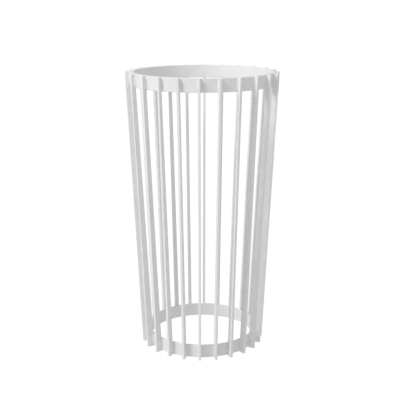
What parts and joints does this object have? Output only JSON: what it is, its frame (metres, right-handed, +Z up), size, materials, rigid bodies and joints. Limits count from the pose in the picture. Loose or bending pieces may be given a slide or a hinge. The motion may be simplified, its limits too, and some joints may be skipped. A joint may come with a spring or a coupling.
{
  "type": "umbrella stand",
  "caption": "Tapered open umbrella stand of upright flat-bar staves welded edge-on around an upper and a lower hoop, open at the top and the bottom.",
  "frame": {"origin": "on the floor, at the centre of the ring of stave feet", "axes": "+Z up along the axis of the stand; stave 1 stands towards -Y and the numbers run anticlockwise seen from above"},
  "size_m": [0.2728, 0.2728, 0.5],
  "materials": {
    "stave_coat": "matt white powder coat",
    "hoop_coat": "matt white powder coat",
    "weld_coat": "matt white powder coat over weld beads"
  },
  "bodies": {
    "root": {"stave_01": "stave_coat", "stave_02": "stave_coat", "stave_03": "stave_coat", "stave_04": "stave_coat", "stave_05": "stave_coat", "stave_06": "stave_coat", "stave_07": "stave_coat", "stave_08": "stave_coat", "stave_09": "stave_coat", "stave_10": "stave_coat", "stave_11": "stave_coat", "stave_12": "stave_coat", "stave_13": "stave_coat", "stave_14": "stave_coat", "stave_15": "stave_coat", "stave_16": "stave_coat", "stave_17": "stave_coat", "stave_18": "stave_coat", "stave_19": "stave_coat", "stave_20": "stave_coat", "stave_21": "stave_coat", "stave_22": "stave_coat", "stave_23": "stave_coat", "stave_24": "stave_coat", "upper_hoop": "hoop_coat", "lower_hoop": "hoop_coat", "upper_hoop_welds": "weld_coat", "lower_hoop_welds": "weld_coat"}
  },
  "joints": []
}
